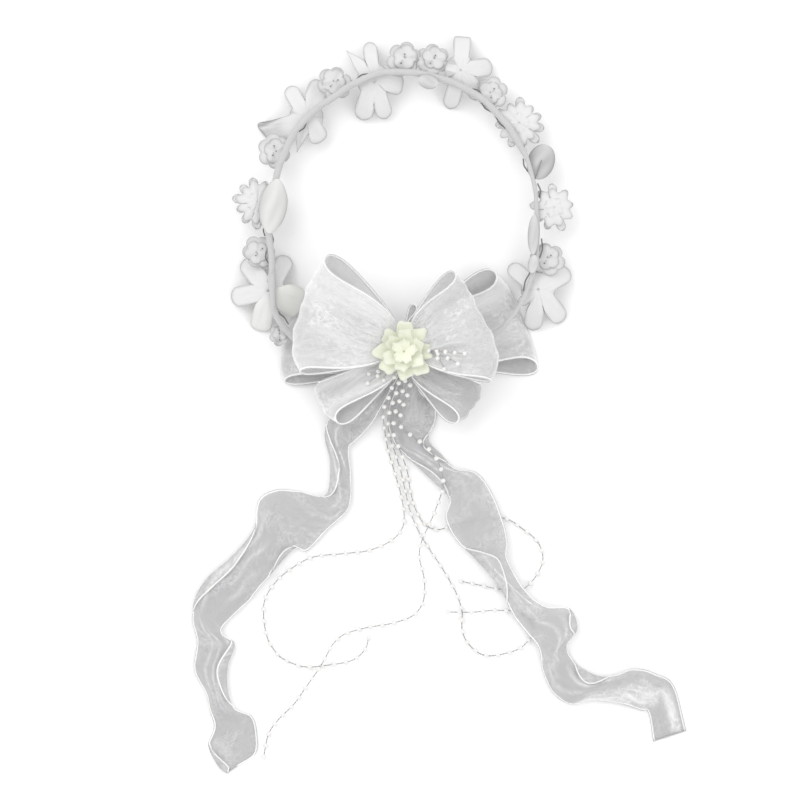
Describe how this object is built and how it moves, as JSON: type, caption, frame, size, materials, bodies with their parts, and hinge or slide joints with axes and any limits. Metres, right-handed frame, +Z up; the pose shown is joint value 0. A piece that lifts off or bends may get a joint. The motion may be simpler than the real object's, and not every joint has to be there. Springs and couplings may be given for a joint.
{
  "type": "flower hair wreath",
  "caption": "Oval ring of taped wire with fabric flowers, an organza bow with a cream flower, two ribbon tails and strings of pearls, lying flat.",
  "frame": {"origin": "the middle of the underside of the whole wreath's bounding box, on the surface that it lies on", "axes": "+Y from the bow's tails to the top of the wreath, +X to the right seen from above, +Z up from the surface"},
  "size_m": [0.306, 0.4558, 0.0533],
  "materials": {
    "tape": "matt white florist's tape",
    "white_cloth": "matt white fabric",
    "cream_cloth": "matt cream fabric",
    "organza": "sheer white organza with a stitched hem",
    "pearl": "pearl lustre"
  },
  "bodies": {
    "root": {"wreath_ring": "tape", "flower_1": "white_cloth", "flower_2": "white_cloth", "flower_3": "white_cloth", "flower_4": "white_cloth", "flower_5": "white_cloth", "daisy_1": "white_cloth", "daisy_2": "white_cloth", "daisy_3": "white_cloth", "blossom_1": "white_cloth", "blossom_2": "white_cloth", "blossom_3": "white_cloth", "blossom_4": "white_cloth", "blossom_5": "white_cloth", "blossom_6": "white_cloth", "blossom_7": "white_cloth", "blossom_8": "white_cloth", "leaf_1": "white_cloth", "leaf_2": "white_cloth", "leaf_3": "white_cloth", "leaf_4": "white_cloth", "leaf_5": "white_cloth", "bow_knot": "organza", "bow_loop_left_front": "organza", "bow_loop_left_back": "organza", "bow_loop_left_low": "organza", "bow_loop_right_front": "organza", "bow_loop_right_back": "organza", "bow_loop_right_low": "organza", "bow_loop_right_inner": "organza", "centre_flower_outer": "cream_cloth", "centre_flower_middle": "cream_cloth", "centre_flower_inner": "cream_cloth", "tail_left": "organza", "tail_right": "organza", "pearl_strand_1": "pearl", "pearl_strand_2": "pearl", "pearl_strand_3": "pearl", "pearl_strand_4": "pearl"}
  },
  "joints": []
}
